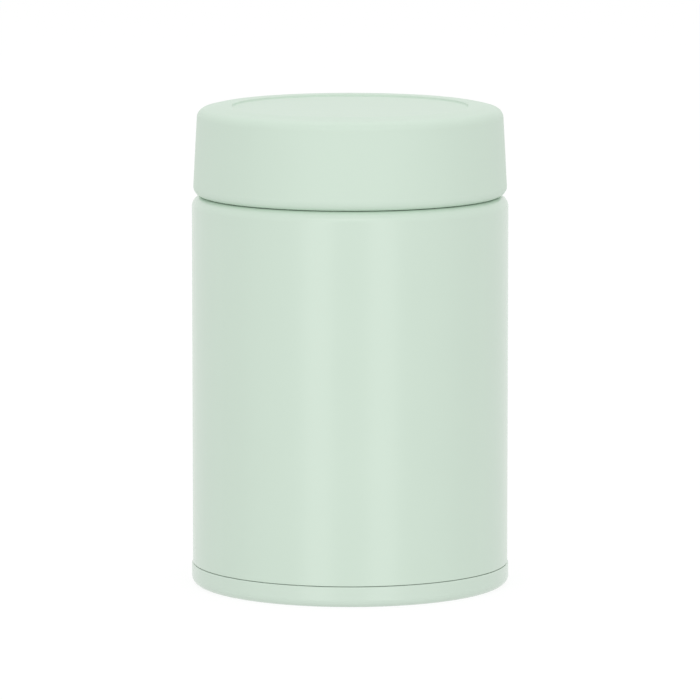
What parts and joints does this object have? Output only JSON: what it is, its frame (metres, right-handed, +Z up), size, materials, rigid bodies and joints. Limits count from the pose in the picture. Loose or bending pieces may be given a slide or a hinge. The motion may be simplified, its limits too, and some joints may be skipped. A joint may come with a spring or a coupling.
{
  "type": "insulated food jar",
  "caption": "Vacuum-insulated steel food jar with a moulded base cover and a screw lid that carries a plug with a gasket and an air valve.",
  "frame": {"origin": "middle of the foot ring, on the surface the jar stands on", "axes": "+Z up along the jar's axis, from the foot to the lid; the jar looks the same from all sides, so +X and +Y are any two directions square to it"},
  "size_m": [0.0794, 0.0794, 0.1203],
  "materials": {
    "body_paint": "satin pale green",
    "base_plastic": "fine satin, pale green",
    "lid_plastic": "fine satin, pale green",
    "cap_plastic": "moulded, light grey",
    "plug_plastic": "moulded, light grey",
    "foam": "closed-cell foam",
    "silicone": "translucent white silicone",
    "adhesive": "cured",
    "vessel_steel": "electropolished",
    "plate_steel": "as pressed",
    "spring_steel": "drawn wire",
    "seal_metal": "brazed",
    "getter_alloy": "sintered",
    "foil": "bright foil"
  },
  "bodies": {
    "jar": {"outer_shell": "body_paint", "inner_vessel": "vessel_steel", "radiation_foil": "foil", "bottom_plate": "plate_steel", "vacuum_seal": "seal_metal", "getter": "getter_alloy", "getter_clip": "plate_steel", "base_cover": "base_plastic", "base_adhesive": "adhesive"},
    "inner_lid": {"inner_lid": "plug_plastic", "inner_lid_cap": "plug_plastic", "inner_lid_foam": "foam", "lid_gasket": "silicone"},
    "outer_lid": {"lid_cover": "lid_plastic", "lid_insulation": "foam", "thread_cap": "cap_plastic"},
    "valve": {"valve_stem": "plug_plastic", "valve_seal": "silicone", "valve_spring": "spring_steel", "valve_collar": "plug_plastic"}
  },
  "joints": [
    {"name": "lid_rise", "type": "slide", "parent": "jar", "child": "inner_lid", "axis": [0, 0, 1], "range_m": [0, 0.03151]},
    {"name": "lid_turn", "type": "hinge", "parent": "inner_lid", "child": "outer_lid", "pos_m": [0, 0, 0.11], "axis": [0, 0, 1], "range_deg": [0, 1260]},
    {"name": "valve_lift", "type": "slide", "parent": "inner_lid", "child": "valve", "axis": [0, 0, 1], "range_m": [-0.0015, 0], "stiffness_N_per_m": 300, "springref_m": 0.002, "deforming": ["valve_spring"]}
  ],
  "couplings": [
    {"joint": "lid_rise", "follows": "lid_turn", "m_per_rad": 0.0014324}
  ]
}
